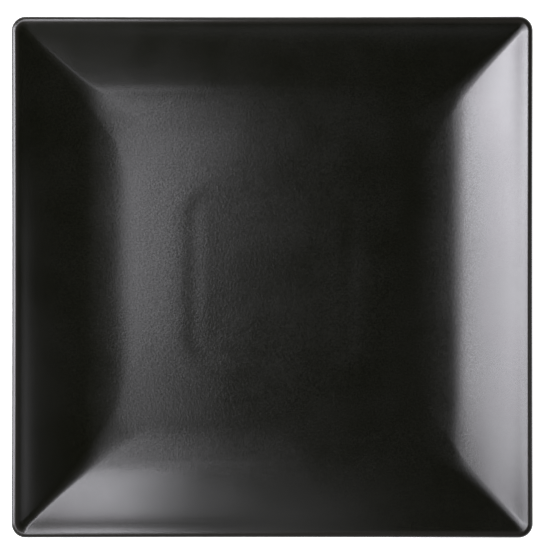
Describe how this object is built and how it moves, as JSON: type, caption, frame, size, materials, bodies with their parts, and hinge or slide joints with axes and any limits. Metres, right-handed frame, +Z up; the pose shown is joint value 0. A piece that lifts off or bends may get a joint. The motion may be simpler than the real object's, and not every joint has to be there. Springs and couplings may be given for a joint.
{
  "type": "square dinner plate",
  "caption": "Square stoneware dinner plate with a gently curved well, crisp mitred corners, a round edge, a satin black glaze and a dry clay foot ring.",
  "frame": {"origin": "middle of the foot, on the table that the plate stands on", "axes": "+Z up, out of the well; +X and +Y square to the sides"},
  "size_m": [0.26, 0.26, 0.025],
  "materials": {
    "bare_clay": "unglazed fired stoneware, dry and fine-grained",
    "black_glaze": "satin black glaze with a fine eggshell grain"
  },
  "bodies": {
    "root": {"stoneware_body": "bare_clay", "glaze_coat": "black_glaze", "recess_glaze": "black_glaze", "centre_glaze": "black_glaze"}
  },
  "joints": []
}
